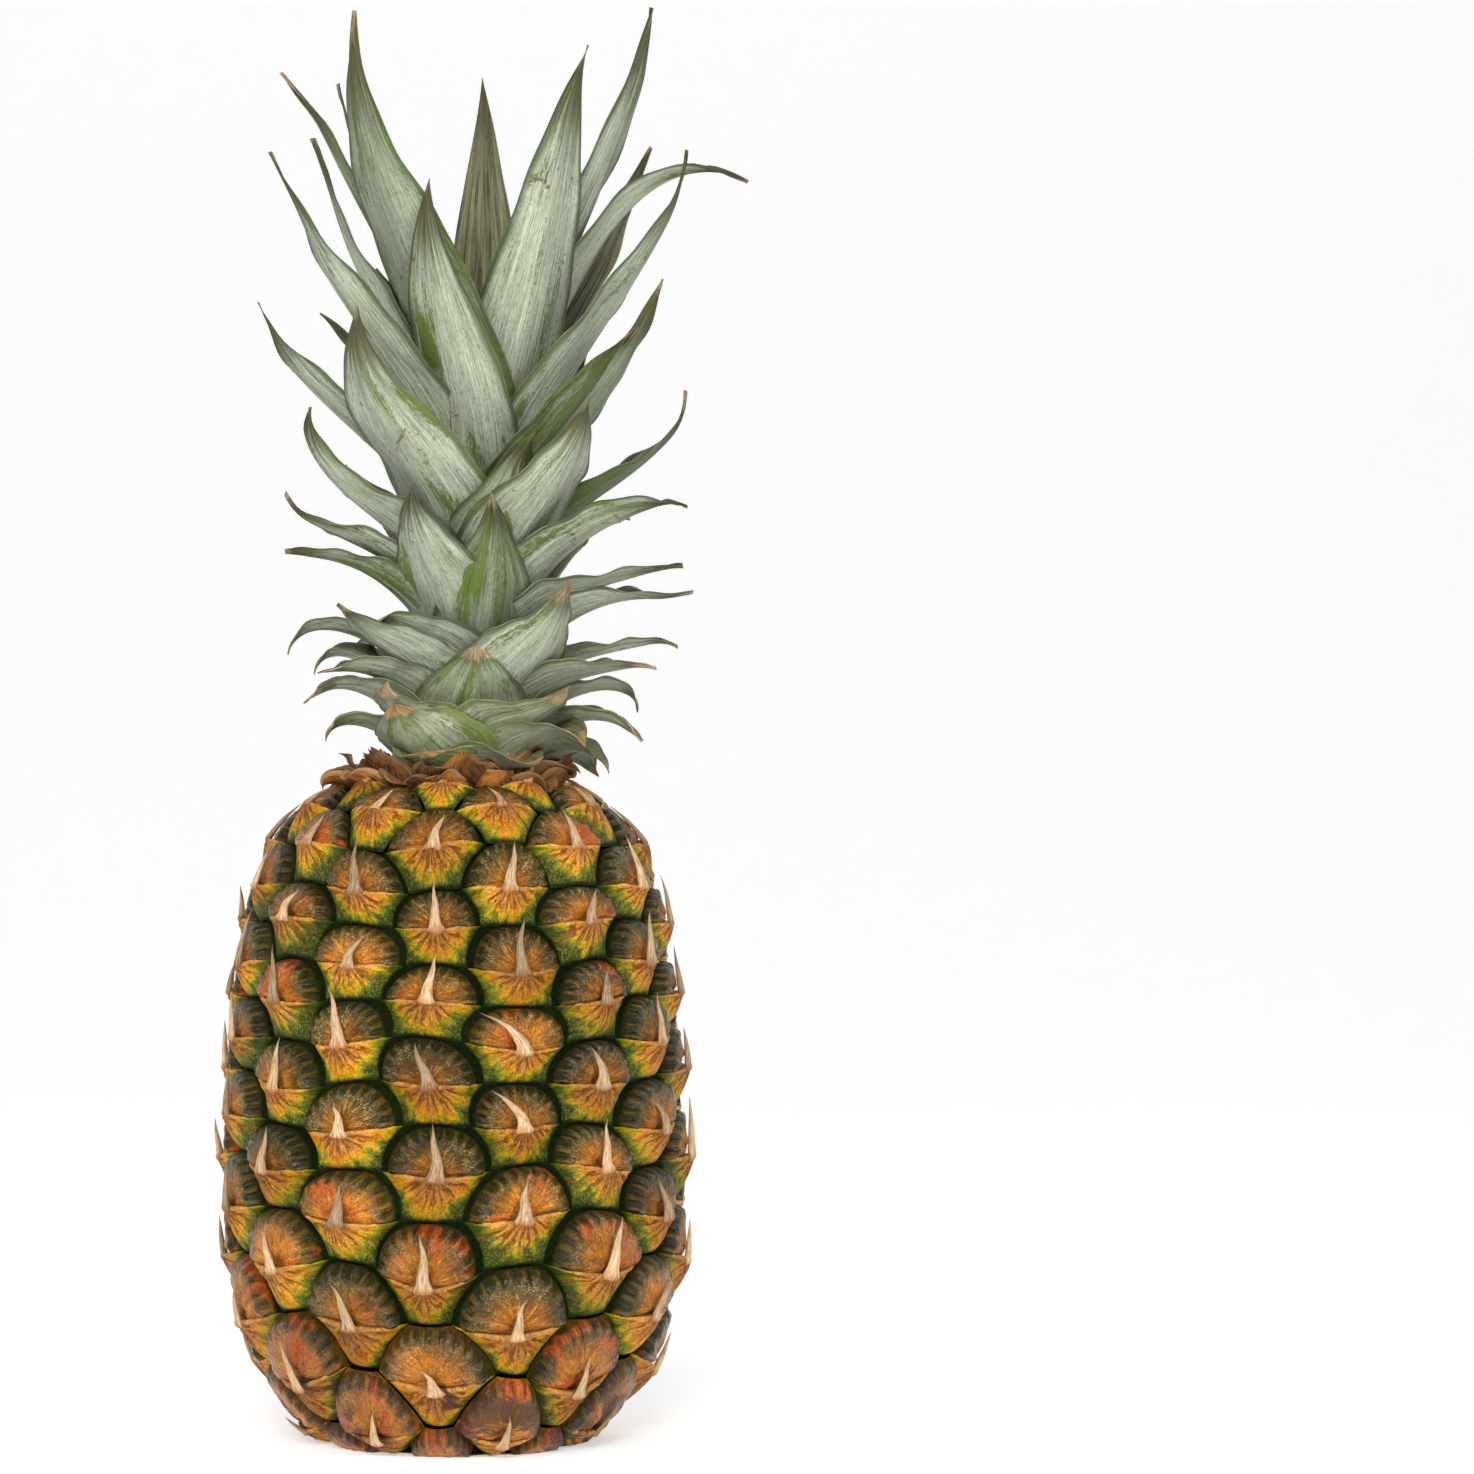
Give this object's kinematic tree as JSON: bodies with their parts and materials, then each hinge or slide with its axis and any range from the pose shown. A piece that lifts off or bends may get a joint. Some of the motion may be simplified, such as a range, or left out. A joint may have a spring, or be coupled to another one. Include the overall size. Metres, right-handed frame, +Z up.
{
  "type": "pineapple",
  "caption": "Whole ripe pineapple standing on its base, with raised hexagonal fruitlets, dry bract tips and a tall crown of pointed grey-green leaves.",
  "frame": {"origin": "centre of the flat spot under the fruit, on the surface it stands on", "axes": "+Z up through the fruit and its crown; -Y is the side that faces the viewer"},
  "size_m": [0.1329, 0.1204, 0.354],
  "materials": {
    "fruit_skin": "waxy, rough, orange-brown with green edges",
    "leaves": "matt with a pale powdery bloom"
  },
  "bodies": {
    "root": {"fruit": "fruit_skin", "crown": "leaves"}
  },
  "joints": []
}
